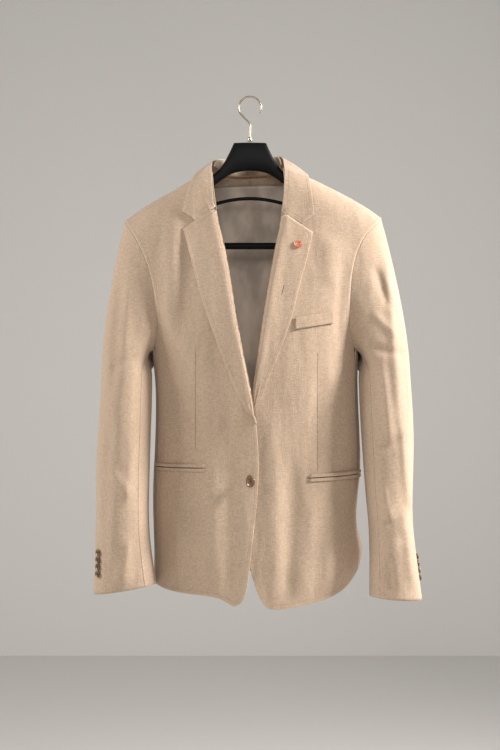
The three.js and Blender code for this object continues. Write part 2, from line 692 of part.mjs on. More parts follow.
// A button with a raised rim round its sunk middle.
function buttonGeometry(radius, thick) {
  const profile = [
    [0, 0],
    [radius * 0.7, 0],
    [radius, thick * 0.35],
    [radius, thick * 0.75],
    [radius * 0.9, thick],
    [radius * 0.66, thick * 0.96],
    [radius * 0.55, thick * 0.72],
    [0, thick * 0.68],
  ];
  return new THREE.LatheGeometry(profile.map(([x, y]) => new THREE.Vector2(x, y)), 10);
}

function roundBar(points, radius, steps, sides) {
  const outline = new THREE.Shape();
  outline.absarc(0, 0, radius, 0, 2 * Math.PI, false);
  const extrudePath = new THREE.CatmullRomCurve3(points, false, 'centripetal');
  const settings = { steps, extrudePath, bevelEnabled: false, curveSegments: sides };
  return new THREE.ExtrudeGeometry(outline, settings);
}

const group = new THREE.Group();
function material(color, roughness, metalness = 0) {
  return new THREE.MeshStandardMaterial({ color, roughness, metalness });
}
function add(name, geometry, finish) {
  const mesh = new THREE.Mesh(geometry, finish);
  mesh.name = name;
  group.add(mesh);
  return mesh;
}
const cloth = () => material(CLOTH_COLOUR, 0.92);
const shadeCloth = () => material(SHADE_CLOTH_COLOUR, 0.92);

// Turns a mesh's own +Y towards a direction and puts its foot at a point.
function seat(mesh, point, direction) {
  mesh.quaternion.setFromUnitVectors(new THREE.Vector3(0, 1, 0), direction.clone().normalize());
  mesh.position.copy(point);
}

// ---------------------------------------------------------------- body
for (const side of ['right', 'left']) {
  add(`front_${side}`, wall(frontSurface(side), {
    uStops: FRONT_STOPS, guide: awayFromAxis, vStops: panelStops(side, 'Front'),
  }), cloth());
  add(`side_${side}`, wall(sideSurface(side), {
    columns: 5, vStops: BELOW_STOPS, guide: awayFromAxis,
  }), shadeCloth());
  add(`back_${side}`, wall(backSurface(side, SEAM_GAP / 2), {
    columns: 7, guide: awayFromAxis, vStops: panelStops(side, 'Back'),
  }), cloth());
  add(`lapel_${side}`, wall(lapelSurface(side), {
    columns: 6, rows: 12, thick: LAPEL_WALL, guide: () => new THREE.Vector3(0, -1, 0),
  }), cloth());
}

// The back lining hangs just inside both backs, from the neck to above the hem.
const LINING_RISE = 28; // from the hem to the lining's foot
const LINING_DROP = 2.4; // between a back and the lining
function liningSurface(u, v) {
  const turn = 180 + blend(-52, 52, u);
  const wrapped = turn > 180 ? turn - 360 : turn;
  const top = blend(0.87, 0.9, ease(180 - Math.abs(wrapped), 8, 21));
  const { z, close } = columnAt(wrapped, top * v, hemAt(wrapped) + LINING_RISE);
  return bodyPoint(wrapped, z, close);
}
add('lining_back', wall(liningSurface, {
  columns: 10, rows: 9, thick: LINING_WALL, lift: -CLOTH - LINING_DROP, guide: awayFromAxis,
}), material(LINING_COLOUR, 0.5));

const outFromNeck = (point) => new THREE.Vector3(point.x, point.y, 50);
add('collar_fall', wall(fallSurface, {
  uStops: [0, 0.2, 0.41, NOTCH_SHARE, 0.81, 1], rows: 34, guide: outFromNeck,
}), cloth());
add('collar_stand', wall(standSurface, {
  columns: 2, rows: 20, guide: (point) => new THREE.Vector3(point.x, point.y, 0.01),
}), shadeCloth());

// ---------------------------------------------------------------- sleeves
const SLEEVE_ROWS = { head: 8, arm: 9 };
const sleeveStops = [
  ...spaced(SLEEVE_ROWS.head, (share) => share * HEAD_ROWS),
  ...spaced(SLEEVE_ROWS.arm, (share) => blend(HEAD_ROWS, 1, share)).slice(1),
];
for (const side of ['right', 'left']) {
  const shape = { vStops: sleeveStops, guide: awayFromSleeve(side) };
  const top = sleeveSurface(side, topSleeveTurn(side));
  const under = sleeveSurface(side, underSleeveTurn(side));
  add(`sleeve_top_${side}`, wall(top, { ...shape, columns: 14 }), cloth());
  add(`sleeve_under_${side}`, wall(under, { ...shape, columns: 9 }), shadeCloth());
}

// ---------------------------------------------------------------- pockets
for (const pocket of HIP_POCKETS) {
  for (const [edge, shift] of [['upper', 0.5], ['lower', -0.5]]) {
    const strip = frontStrip({ ...pocket, z: pocket.z + shift * JET.spread, height: JET.height });
    add(`pocket_${edge}_${pocket.side}`, wall(strip, {
      columns: 8, rows: 1, thick: JET.wall, lift: LAY_GAP + JET.wall, guide: awayFromAxis,
    }), cloth());
  }
}
function weltSurface(u, v) {
  const x = blend(BREAST_WELT.from, BREAST_WELT.to, u);
  const z = BREAST_WELT.z + BREAST_WELT.rise * u + BREAST_WELT.height * (v - 0.5);
  return onFront(x, z, 0);
}
add('breast_welt', wall(weltSurface, {
  columns: 6, rows: 2, thick: BREAST_WELT.wall, lift: LAY_GAP + BREAST_WELT.wall, guide: awayFromAxis,
}), cloth());

// ---------------------------------------------------------------- buttons and pin
const horn = () => material(HORN_COLOUR, 0.35);
const { x: buttonX, z: buttonZ, radius, thick, lift, tilt } = FRONT_BUTTON;
const buttonFoot = onFront(buttonX, buttonZ, lift + overlapLift(buttonX, buttonZ));
const buttonFacing = new THREE.Vector3(-Math.sin(tilt), -Math.cos(tilt), 0.05);
seat(add('button_front', buttonGeometry(radius, thick), horn()), buttonFoot, buttonFacing);

for (const side of ['right', 'left']) {
  const sleeve = SLEEVES[side];
  const cuff = sleeve.rings[sleeve.rings.length - 1].z;
  const surface = sleeveSurface(side, (u) => u);
  for (let index = 0; index < CUFF_BUTTON.count; index += 1) {
    const z = cuff + CUFF_BUTTON.above + index * CUFF_BUTTON.step;
    const v = HEAD_ROWS + (1 - HEAD_ROWS) * ((z - sleeve.rings[0].z) / (cuff - sleeve.rings[0].z));
    const point = surface(sleeve.buttonTurn, v);
    const facing = normalAt(surface, sleeve.buttonTurn, v, awayFromSleeve(side)(point));
    point.addScaledVector(facing, LAY_GAP);
    const name = `cuff_button_${side}_${index + 1}`;
    seat(add(name, buttonGeometry(CUFF_BUTTON.radius, CUFF_BUTTON.thick), horn()), point, facing);
  }
}

const pinSurface = (u, v) => onFront(LAPEL_PIN.x + u, LAPEL_PIN.z + v, LAY_GAP + LAPEL_WALL);
const pinFacing = normalAt(pinSurface, 0, 0, new THREE.Vector3(0, -1, 0));
const pinFoot = pinSurface(0, 0).addScaledVector(pinFacing, 1);
const pin = add('lapel_pin', buttonGeometry(LAPEL_PIN.radius, LAPEL_PIN.thick), material(CORAL_COLOUR, 0.45));
seat(pin, pinFoot, pinFacing);

// ---------------------------------------------------------------- hanger
const black = () => material(BLACK_COLOUR, 0.55);

// The moulded body is a round-cornered section carried across the shoulders.
function hangerGeometry() {
  const stations = [...HANGER.slice(1).reverse().map((row) => ({ ...row, x: -row.x })), ...HANGER];
  const sides = 14;
  const points = [];
  for (const station of stations) {
    const half = (station.top - station.foot) / 2;
    for (let side = 0; side < sides; side += 1) {
      const angle = (side / sides) * 2 * Math.PI;
      const round = (value) => Math.sign(value) * Math.pow(Math.abs(value), 0.72);
      const y = station.depth * round(Math.cos(angle));
      const z = (station.top + station.foot) / 2 + half * round(Math.sin(angle));
      points.push(new THREE.Vector3(station.x, y, z));
    }
  }
  const triangles = [];
  const last = stations.length - 1;
  for (let ring = 0; ring < last; ring += 1) {
    for (let side = 0; side < sides; side += 1) {
      const next = (side + 1) % sides;
      const near = ring * sides;
      const far = near + sides;
      triangles.push([near + side, near + next, far + next], [near + side, far + next, far + side]);
    }
  }
  for (const [ring, flip] of [[0, true], [last, false]]) {
    for (let side = 1; side < sides - 1; side += 1) {
      const fan = [ring * sides, ring * sides + side, ring * sides + side + 1];
      triangles.push(flip ? fan.reverse() : fan);
    }
  }
  return closedBody(points, triangles);
}
add('hanger_body', hangerGeometry(), black());

const crown = HOOK.wire - HOOK.radius;
const hookPoints = [HOOK.shankFoot, HOOK.shankTop - 12, HOOK.shankTop].map((z) => new THREE.Vector3(0, 0, z));
for (let step = 0; step <= 12; step += 1) {
  const angle = radians(blend(232, -28, step / 12));
  hookPoints.push(new THREE.Vector3(HOOK.radius * Math.cos(angle), 0, crown + HOOK.radius * Math.sin(angle)));
}
const steel = () => material(STEEL_COLOUR, 0.3, 1);
add('hanger_hook', roundBar(hookPoints, HOOK.wire, 56, 5), steel());
const ferrule = add('hook_ferrule', new THREE.LatheGeometry([
  new THREE.Vector2(HOOK.wire + SEAM_GAP, 0),
  new THREE.Vector2(FERRULE.radius, 0),
  new THREE.Vector2(FERRULE.radius - 1, FERRULE.height),
  new THREE.Vector2(HOOK.wire + SEAM_GAP, FERRULE.height),
  new THREE.Vector2(HOOK.wire + SEAM_GAP, 0),
], 16), steel());
ferrule.rotation.x = Math.PI / 2;
ferrule.position.set(0, 0, HOOK.shankFoot + 0.3);

const bracePoints = [];
for (let step = -6; step <= 6; step += 1) {
  const x = (step / 6) * BRACE.reach;
  bracePoints.push(new THREE.Vector3(x, 0, BRACE.apex - BRACE.drop * x * x));
}
const braceEnd = BRACE.apex - BRACE.drop * BRACE.reach ** 2;
bracePoints.unshift(new THREE.Vector3(-BRACE.reach - 7, 0, braceEnd + BRACE.rise));
bracePoints.push(new THREE.Vector3(BRACE.reach + 7, 0, braceEnd + BRACE.rise));
add('hanger_brace', roundBar(bracePoints, BRACE.wire, 40, 4), black());

const barPoints = [];
for (const sign of [-1, 1]) {
  const post = [
    new THREE.Vector3(sign * TROUSER_BAR.reach, 0, TROUSER_BAR.top),
    new THREE.Vector3(sign * TROUSER_BAR.reach, 0, TROUSER_BAR.z + TROUSER_BAR.bend),
    new THREE.Vector3(sign * (TROUSER_BAR.reach - 5), 0, TROUSER_BAR.z + 5),
    new THREE.Vector3(sign * (TROUSER_BAR.reach - TROUSER_BAR.bend), 0, TROUSER_BAR.z),
    new THREE.Vector3(sign * 60, 0, TROUSER_BAR.z),
  ];
  barPoints.push(...(sign < 0 ? post : post.reverse()));
}
add('trouser_bar', roundBar(barPoints, TROUSER_BAR.wire, 44, 5), black());

export default group;
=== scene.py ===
# %% [markdown]
# This lesson finishes a tailored jacket that hangs open on a wide-shoulder hanger. The hard
# work of its shape, the walls of cloth in their true places, comes with the frame. Here each
# wall is woven into one smooth surface, its largest creases are laid in, and every
# piece is given the finish of the real one.

# %% the frame
import json
import math

import bmesh
import bpy
import numpy as np
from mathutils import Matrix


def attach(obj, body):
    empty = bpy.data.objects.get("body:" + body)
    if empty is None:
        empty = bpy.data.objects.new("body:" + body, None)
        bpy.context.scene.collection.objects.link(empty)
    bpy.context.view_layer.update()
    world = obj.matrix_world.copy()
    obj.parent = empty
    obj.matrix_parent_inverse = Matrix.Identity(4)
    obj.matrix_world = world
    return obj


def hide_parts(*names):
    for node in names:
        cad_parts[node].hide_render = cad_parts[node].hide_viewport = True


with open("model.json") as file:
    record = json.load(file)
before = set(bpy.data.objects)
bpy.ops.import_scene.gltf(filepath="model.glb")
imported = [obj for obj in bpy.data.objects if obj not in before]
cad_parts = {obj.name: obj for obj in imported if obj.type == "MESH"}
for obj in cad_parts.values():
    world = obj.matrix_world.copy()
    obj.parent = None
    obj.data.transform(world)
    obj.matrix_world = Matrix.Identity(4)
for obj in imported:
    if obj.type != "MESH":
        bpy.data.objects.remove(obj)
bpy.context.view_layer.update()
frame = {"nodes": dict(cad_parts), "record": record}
nodes = frame["nodes"]

# %% [markdown]
# Shader maths reads best as sums. The small class below wraps a socket, so that adding or
# multiplying two of them adds a Math node, and any other node comes from one method.

# %% a socket that can be added and multiplied
MM = 0.001


class Value:
    """A number that varies over a surface: each operator adds one Math node."""

    def __init__(self, tree, socket):
        self.tree = tree
        self.socket = socket

    def maths(self, operation, *others):
        return self.tree.node("ShaderNodeMath", {"operation": operation}, [self, *others])

    def __add__(self, other):
        return self.maths("ADD", other)

    def __sub__(self, other):
        return self.maths("SUBTRACT", other)

    def __rsub__(self, other):
        return self.maths("MULTIPLY_ADD", -1.0, other)

    def __mul__(self, other):
        return self.maths("MULTIPLY", other)

    __radd__ = __add__
    __rmul__ = __mul__

    def size(self):
        return self.maths("ABSOLUTE")

    def ramp(self, low, high):
        """0 below low, 1 above high, and a soft step between."""
        inputs = {"Value": self, "From Min": low, "From Max": high}
        return self.tree.node("ShaderNodeMapRange", {"interpolation_type": "SMOOTHSTEP"}, inputs)


class Finish:
    """A material with one Principled shader and a method that adds any other node."""

    def __init__(self, name, roughness, metallic=0.0, **constants):
        self.material = bpy.data.materials.new(name)
        self.material.use_nodes = True
        self.nodes = self.material.node_tree.nodes
        self.links = self.material.node_tree.links
        self.shader = self.nodes["Principled BSDF"]
        self.shader.inputs["Roughness"].default_value = roughness
        self.shader.inputs["Metallic"].default_value = metallic
        for socket, value in constants.items():
            self.shader.inputs[socket.replace("_", " ")].default_value = value

    def feed(self, target, value):
        if isinstance(value, Value):
            self.links.new(value.socket, target)
        else:
            target.default_value = value

    def node(self, kind, settings=None, inputs=(), output=0):
        made = self.nodes.new(kind)
        for key, value in (settings or {}).items():
            setattr(made, key, value)
        pairs = inputs.items() if isinstance(inputs, dict) else enumerate(inputs)
        for key, value in pairs:
            self.feed(made.inputs[key], value)
        return Value(self, made.outputs[output])

    def place(self, scale):
        """Object coordinates, stretched by a scale along each axis."""
        where = self.node("ShaderNodeTexCoord", output=3)
        return self.node("ShaderNodeMapping", {}, {"Vector": where, "Scale": scale})

    def noise(self, scale, detail=3.0, stretch=(1, 1, 1)):
        inputs = {"Vector": self.place(stretch), "Scale": scale, "Detail": detail}
        return self.node("ShaderNodeTexNoise", {}, inputs)

    def mix(self, factor, low, high):
        """A colour between two others."""
        made = self.nodes.new("ShaderNodeMix")
        made.data_type = "RGBA"
        for index, value in ((0, factor), (6, low), (7, high)):
            self.feed(made.inputs[index], value)
        return Value(self, made.outputs[2])

    def attribute(self, name):
        """A number stored on each vertex."""
        return self.node("ShaderNodeAttribute", {"attribute_name": name}, output=2)

    def axis(self, index):
        """One object coordinate, in metres."""
        where = self.node("ShaderNodeTexCoord", output=3)
        return self.node("ShaderNodeSeparateXYZ", {}, {0: where}, output=index)

    def stroke(self, x0, z0, x1, z1, half):
        """1 on a straight line in front view, given in millimetres, and 0 beside it."""
        span = math.hypot(x1 - x0, z1 - z0)
        way_x, way_z = (x1 - x0) / span, (z1 - z0) / span
        length, soft = span * MM, half * MM
        x = self.axis(0) - x0 * MM
        z = self.axis(2) - z0 * MM
        reach = x * way_x + z * way_z
        off = (x * way_z - z * way_x).size()
        inside = reach.ramp(-soft, soft) * (1 - reach.ramp(length - soft, length + soft))
        return inside * (1 - off.ramp(soft * 0.3, soft))

    def colour(self, value):
        self.feed(self.shader.inputs["Base Color"], value)

    def rough(self, value):
        self.feed(self.shader.inputs["Roughness"], value)

    def bump(self, height, strength, distance):
        inputs = {"Height": height, "Strength": strength, "Distance": distance}
        self.feed(self.shader.inputs["Normal"], self.node("ShaderNodeBump", {}, inputs))


# %% [markdown]
# The cloth is a plain weave of uneven yarns. Two fine noises, each stretched along one
# direction of the cloth, give weft and warp, and a coarser pair gives the slubs. Each piece
# knows the distance of its points from its own rim, so an edge that is pressed and stitched
# can be drawn a few millimetres inside it: its rim is lightened as a painted highlight, and its
# stitch line is darkened as painted shade. Darts, the slit of the lapel and the mouths of the
# pockets are fine strokes, darkened as painted shade.

# %% linen-look cloth
WEFT = (0.13, 0.13, 1.0)  # stretched along the width
WARP = (1.0, 1.0, 0.13)  # stretched along the height
LIGHT, DARK, PALE = (0.60, 0.455, 0.34, 1), (0.46, 0.34, 0.245, 1), (0.76, 0.63, 0.5, 1)
SHADE = (0.15, 0.09, 0.05, 1)
STITCH_INSET, STITCH_HALF = 0.0065, 0.0007  # metres from the rim, and half the line's width
STROKE_SINK = 0.0018  # depth of a dart, a slit or a pocket's mouth


def cloth_finish(name, stitched=False, strokes=()):
    finish = Finish(name, 0.9, Sheen_Weight=0.22, Sheen_Roughness=0.45, Specular_IOR_Level=0.2)
    weft = finish.noise(1150, 2.0, WEFT)
    warp = finish.noise(1150, 2.0, WARP)
    slubs = finish.noise(420, 2.0, (0.07, 0.07, 1.0)).ramp(0.58, 0.8)
    slubs = slubs + finish.noise(380, 2.0, (1.0, 1.0, 0.07)).ramp(0.58, 0.8)
    yarns = weft * 0.5 + warp * 0.5
    base = finish.mix(yarns.ramp(0.38, 0.62), DARK, LIGHT)
    base = finish.mix(slubs * 0.14, base, PALE)
    base = finish.mix(finish.noise(7, 4.0).ramp(0.35, 0.7) * 0.25, base, DARK)
    rumple = finish.noise(11, 3.0, (1.0, 1.0, 0.28))
    height = yarns * 0.0005 + slubs * 0.00025 + rumple * 0.016
    rim = finish.attribute("rim")
    if stitched:
        # painted highlight: the cloth within about 2 mm of a stitched piece's rim is lightened towards
        # PALE, as where light catches a pressed edge
        base = finish.mix((1 - rim.ramp(0.0004, 0.0022)) * 0.25, base, PALE)
        # painted shade: the stitch line is darkened a little towards SHADE, the shade in its sunk line
        stitch = 1 - (rim - STITCH_INSET).size().ramp(STITCH_HALF * 0.3, STITCH_HALF)
        base = finish.mix(stitch * 0.14, base, SHADE)
        height = height - stitch * 0.0003
    # painted shade: each stroke darkens towards SHADE by its darkness, the shade in a dart's fold, the
    # lapel's slit or a pocket's mouth
    for x0, z0, x1, z1, half, deep in strokes:
        stroke = finish.stroke(x0, z0, x1, z1, half)
        base = finish.mix(stroke * deep, base, SHADE)
        height = height - stroke * STROKE_SINK
    finish.colour(base)
    finish.bump(height, 0.8, 1.0)
    return finish.material


# Strokes in millimetres, x0, z0, x1, z1, half width and darkness of painted shade: a dart, and
# the dark mouth between the jets of a hip pocket, where the darkness is painted shade in the gap.
RIGHT_STROKES = [(-92, -443, -92, -611, 0.9, 0.2), (-79, -643, -166, -643, 2.4, 0.85)]
LEFT_STROKES = [(114, -449, 114, -649, 0.9, 0.2), (99, -660, 186, -655, 2.4, 0.85)]

CLOTHS = {
    "cloth": cloth_finish("cloth"),
    "stitched": cloth_finish("cloth_stitched", True),
    "front_right": cloth_finish("cloth_front_right", True, RIGHT_STROKES),
    "front_left": cloth_finish("cloth_front_left", True, LEFT_STROKES),
    "lapel_left": cloth_finish("cloth_lapel_left", True, [(53, -350, 57, -335, 1.2, 0.6)]),
}
print("cloths:", ", ".join(CLOTHS))

# %% [markdown]
# The lining is a satin: smooth, with a soft gloss and faint upright pleat shadows, painted
# into its colour as painted shade along with darker blotches of painted shade. Horn has
# streaks that wander through a dark brown. The hanger is a moulded plastic with a very fine
# grain, and its hook is drawn steel wire. The pin is enamel with a slightly worn tone, and the
# buttons are sewn on with a dark brown thread.

# %% lining, horn, enamel, plastic, steel and thread


def lining_finish():
    finish = Finish("lining", 0.4, Sheen_Weight=0.1)
    pleats_and_shade = finish.noise(26, 3.0, (1.0, 1.0, 0.12))
    shade_patches = finish.noise(16, 5.0, (1.0, 1.0, 0.6)).ramp(0.42, 0.66)
    # painted shade: the colour is darker in the troughs of the pleat noise and lighter on its ridges
    base = finish.mix(pleats_and_shade.ramp(0.3, 0.7), (0.74, 0.63, 0.52, 1), (0.9, 0.79, 0.67, 1))
    # painted shade: soft dark blotches, as in the shade of the lining's folds
    finish.colour(finish.mix(shade_patches * 0.7, base, (0.3, 0.24, 0.19, 1)))
    finish.bump(finish.noise(900, 1.0, (1, 1, 0.2)) * 0.00005 + pleats_and_shade * 0.006, 0.8, 1.0)
    return finish.material


def horn_finish():
    finish = Finish("horn", 0.32, Coat_Weight=0.3)
    streaks = finish.noise(190, 5.0, (1.0, 1.0, 0.35))
    finish.colour(finish.mix(streaks.ramp(0.35, 0.7), (0.09, 0.05, 0.028, 1), (0.27, 0.165, 0.09, 1)))
    return finish.material


def enamel_finish():
    finish = Finish("coral", 0.35, Coat_Weight=0.5)
    cloudy = finish.noise(260, 3.0).ramp(0.4, 0.7)
    finish.colour(finish.mix(cloudy, (0.56, 0.17, 0.1, 1), (0.68, 0.27, 0.17, 1)))
    return finish.material


def plastic_finish():
    finish = Finish("hanger_black", 0.5, Specular_IOR_Level=0.12)
    grain = finish.noise(1400, 2.0)
    finish.colour(finish.mix(grain, (0.004, 0.0045, 0.005, 1), (0.008, 0.0085, 0.0095, 1)))
    finish.rough(grain * 0.15 + 0.42)
    finish.bump(grain, 0.2, 0.0002)
    return finish.material


def steel_finish():
    finish = Finish("steel", 0.28, 1.0)
    drawn = finish.noise(600, 2.0, (1, 1, 0.05))
    finish.colour(finish.mix(drawn, (0.27, 0.225, 0.17, 1), (0.45, 0.385, 0.3, 1)))
    finish.rough(drawn * 0.2 + 0.2)
    return finish.material


def thread_finish():
    finish = Finish("thread", 0.8)
    strand = finish.noise(1600, 2.0)
    finish.colour(finish.mix(strand, (0.1, 0.06, 0.035, 1), (0.2, 0.13, 0.08, 1)))
    finish.bump(strand, 0.4, 0.0002)
    return finish.material


THREAD = thread_finish()
FINISHES = {
    "cloth": CLOTHS["cloth"],
    "lining": lining_finish(),
    "horn": horn_finish(),
    "coral": enamel_finish(),
    "hanger_black": plastic_finish(),
    "steel": steel_finish(),
}
slots = {part["node"]: part["material_slot"] for part in frame["record"]["subparts"]}
print("finishes:", ", ".join(FINISHES))

# %% [markdown]
# Creases are soft troughs and ridges. Each row below gives one: where it starts and ends in
# front view, how wide and how deep it is, and whether it is on the front (-1) or the back (1).
# Their depth fades at both ends, and they differ in length, width and depth.

# %% creases, in millimetres
CREASES = [
    # x0, z0, x1, z1, width, depth, face
    (-128, -215, -138, -400, 15, 4.9, -1),
    (-104, -250, -110, -420, 21, -3.8, -1),
    (-34, -650, -30, -862, 15, -3, -1),
    (-62, -600, -57, -850, 18, 2.6, -1),
    (-130, -660, -118, -845, 16, 4.1, -1),
    (34, -560, 48, -850, 19, 4.9, -1),
    (72, -640, 60, -870, 15, -5.2, -1),
    (110, -690, 92, -862, 17, 3.5, -1),
    (120, -480, 112, -640, 15, -2.6, -1),
    (150, -700, 128, -850, 15, 4.3, -1),
    (140, -250, 132, -330, 17, 3.8, -1),
    (160, -300, 148, -430, 11, -3.5, -1),
    (-222, -300, -232, -520, 11, -4.9, -1),
    (-206, -330, -214, -440, 10, 3.5, -1),
    (-190, -450, -236, -478, 8, -3.2, -1),
    (-236, -560, -246, -760, 10, -4.6, -1),
    (-196, -690, -240, -640, 9, 3.2, -1),
    (-190, -600, -206, -700, 10, 3.2, -1),
    (-200, -760, -216, -838, 11, 4.1, -1),
    (236, -290, 252, -560, 10, 6.1, -1),
    (214, -300, 238, -372, 8, -4.6, -1),
    (208, -380, 250, -420, 8, 4.1, -1),
    (204, -440, 262, -452, 9, -4.1, -1),
    (222, -470, 236, -600, 9, 4.1, -1),
    (254, -560, 268, -700, 8, 5.2, -1),
    (216, -612, 262, -590, 8, -4.3, -1),
    (210, -650, 236, -730, 9, 3.8, -1),
    (226, -742, 270, -700, 8, -4.6, -1),
    (258, -720, 276, -840, 9, 4.6, -1),
    (214, -800, 250, -762, 8, 3.8, -1),
    (228, -790, 238, -858, 9, -3.8, -1),
    (-90, -230, -70, -520, 19, 3.5, 1),
    (84, -240, 66, -560, 19, 3.2, 1),
    (-60, -560, -80, -820, 21, 4.1, 1),
    (52, -520, 90, -810, 19, -4.1, 1),
    (0, -180, 20, -300, 25, 2.6, 1),
    (-150, -300, -120, -430, 13, -3.5, 1),
    (146, -290, 118, -440, 13, -3.2, 1),
    (-240, -320, -236, -600, 10, 4.9, 1),
    (-214, -430, -256, -462, 9, -3.8, 1),
    (-222, -640, -256, -610, 9, -4.1, 1),
    (240, -330, 250, -640, 10, -4.9, 1),
    (214, -420, 262, -452, 9, 4.1, 1),
    (224, -660, 266, -622, 9, 3.8, 1),
    (240, -760, 262, -850, 10, -3.8, 1),
]


FACE_BLEND = 0.012  # depth over which a crease of one face fades out towards the other
END_FADE = 4.0  # how quickly a crease reaches its depth from its ends
END_DEPTH = 0.35  # share of its depth that a crease has at its ends


def crease_depth(points):
    """Height of all creases at each point: depth exp(-(off / width)^2), faded at both ends."""
    height = np.zeros(len(points))
    for x0, z0, x1, z1, width, depth, face in CREASES:
        start, way = np.array([x0, z0]) * MM, np.array([x1 - x0, z1 - z0]) * MM
        to = points[:, [0, 2]] - start
        share = (to @ way) / (way @ way)
        off = np.hypot(*(to - np.clip(share, 0, 1)[:, None] * way).T) / (width * MM)
        fade = np.clip(np.minimum(share, 1 - share) * END_FADE + END_DEPTH, 0, 1)
        side = np.clip(points[:, 1] * face / FACE_BLEND + 0.5, 0, 1)
        height += depth * MM * np.exp(-off * off) * fade * side
    return height


# %% [markdown]
# A wall of cloth arrives as loose facets. Its copy is merged, its facets are paired into
# quads, and its rim is kept crisp by creased edges. Subdivision then makes one smooth
# surface of it. Its rim is sewn to its neighbours' rims, and the creases move both faces of
# the wall together.

# %% cloth pieces from their walls
CLOTH_FLAT = {
    # node: flat width and length of the cut that shows, and its share of that rectangle
    "front_right": (0.230, 0.740, 0.75), "front_left": (0.245, 0.750, 0.76),
    "back_right": (0.210, 0.710, 0.80), "back_left": (0.225, 0.710, 0.81),
    "side_right": (0.125, 0.410, 0.84), "side_left": (0.140, 0.385, 0.74),
    "lapel_right": (0.085, 0.380, 0.57), "lapel_left": (0.075, 0.360, 0.60),
    "collar_fall": (0.480, 0.060, 0.80), "collar_stand": (0.200, 0.026, 0.85),
    "sleeve_top_right": (0.210, 0.660, 0.74), "sleeve_top_left": (0.220, 0.660, 0.77),
    "sleeve_under_right": (0.160, 0.520, 0.86), "sleeve_under_left": (0.160, 0.520, 0.83),
    "lining_back": (0.420, 0.680, 0.72), "breast_welt": (0.076, 0.020, 0.98),
    # a jet is cut twice as wide as it shows, and folded in half along its length
    "pocket_upper_right": (0.130, 0.013, 0.5), "pocket_lower_right": (0.130, 0.013, 0.5),
    "pocket_upper_left": (0.130, 0.013, 0.5), "pocket_lower_left": (0.130, 0.013, 0.5),
}


CRISP_TURN = math.radians(50)  # facets that meet at more than this keep a crisp edge
RIM_TURN = 0.8  # radians between two faces of a smoothed wall at its rim
MERGE = 0.00002
SEAM_BLUR = 0.0015
PULL_SOFT = 0.002  # a seam's pull fades out over this part of its reach
CREASE_INSET = 0.02  # creases reach their full height this far inside a rim
PARTING = -0.02  # depth in front of which a crease rises forwards, and behind it backwards
CHUNK = 4000  # points whose distances are worked out at once
RIMS = {}


def smooth_copy(name, levels):
    """A merged copy of a wall, in quads, with creased rims and a live subdivision."""
    mesh = nodes[name].data.copy()
    piece = bpy.data.objects.new(f"{name}_cloth", mesh)
    bpy.context.scene.collection.objects.link(piece)
    facets = bmesh.new()
    facets.from_mesh(mesh)
    bmesh.ops.remove_doubles(facets, verts=facets.verts, dist=MERGE)
    limits = {"angle_face_threshold": 0.7, "angle_shape_threshold": 3.1}
    bmesh.ops.join_triangles(facets, faces=facets.faces, **limits)
    sharp = facets.edges.layers.float.new("crease_edge")
    for edge in facets.edges:
        if edge.calc_face_angle(0) > CRISP_TURN:
            edge[sharp] = 1.0
    facets.to_mesh(mesh)
    facets.free()
    mesh.polygons.foreach_set("use_smooth", np.ones(len(mesh.polygons), dtype=bool))
    mesh.materials.clear()
    subdivide = piece.modifiers.new("smooth", "SUBSURF")
    subdivide.levels = subdivide.render_levels = levels
    return piece


def points_of(mesh):
    """All vertices of a mesh as rows of x, y, z."""
    points = np.empty(len(mesh.vertices) * 3)
    mesh.vertices.foreach_get("co", points)
    return points.reshape(-1, 3)


def crisp_points(mesh, points):
    """The points of a wall that lie on its rim, where two faces meet at a sharp angle."""
    facets = bmesh.new()
    facets.from_mesh(mesh)
    sharp = [edge.verts[0].index for edge in facets.edges if edge.calc_face_angle(0) > RIM_TURN]
    facets.free()
    return points[sharp]


def nearest(points, marks):
    """Index of the nearest mark to each point, and its distance."""
    index, away = np.empty(len(points), dtype=int), np.empty(len(points))
    for start in range(0, len(points), CHUNK):
        part = points[start:start + CHUNK]
        squares = (part**2).sum(1)[:, None] + (marks**2).sum(1) - 2 * part @ marks.T
        index[start:start + CHUNK] = squares.argmin(1)
        away[start:start + CHUNK] = np.sqrt(np.maximum(squares.min(1), 0))
    return index, away


def seam_pull(rim, targets, reach):
    """How far each rim point moves onto its neighbours' rims.

    It goes to the mean of their points, weighted by exp(-(d^2 - nearest^2) / (2 SEAM_BLUR^2)),
    if the nearest is within reach.
    """
    marks = np.concatenate([RIMS[target] for target in targets])
    squares = ((rim[:, None] - marks) ** 2).sum(2)
    closest = squares.min(1)
    weight = np.exp((closest[:, None] - squares) / (2 * SEAM_BLUR**2))
    onto = weight @ marks / weight.sum(1)[:, None]
    return (onto - rim) * np.clip((reach - np.sqrt(closest)) / PULL_SOFT, 0, 1)[:, None]


def sew_and_crease(piece, name, targets, reach, fade):
    """Bakes a wall's smoothing, sews its rim to its neighbours and lays the creases in.

    The wall follows its rim's pull by (1 - d / fade)^2, where d is a point's distance from the
    rim. That distance is kept on the mesh as "rim".
    """
    graph = bpy.context.evaluated_depsgraph_get()
    mesh = bpy.data.meshes.new_from_object(piece.evaluated_get(graph))
    piece.modifiers.clear()
    piece.data = mesh
    points = points_of(mesh)
    rim = crisp_points(mesh, points)
    index, inset = nearest(points, rim)
    if targets:
        pull = seam_pull(rim, targets, reach)
        points += pull[index] * (np.clip(1 - inset / fade, 0, 1) ** 2)[:, None]
        rim = rim + pull
    RIMS[name] = rim
    height = crease_depth(points) * np.clip(inset / CREASE_INSET, 0.1, 1)
    points[:, 1] += height * np.sign(points[:, 1] - PARTING)
    mesh.vertices.foreach_set("co", points.ravel())
    mesh.attributes.new("rim", "FLOAT", "POINT").data.foreach_set("value", inset)
    mesh.update()


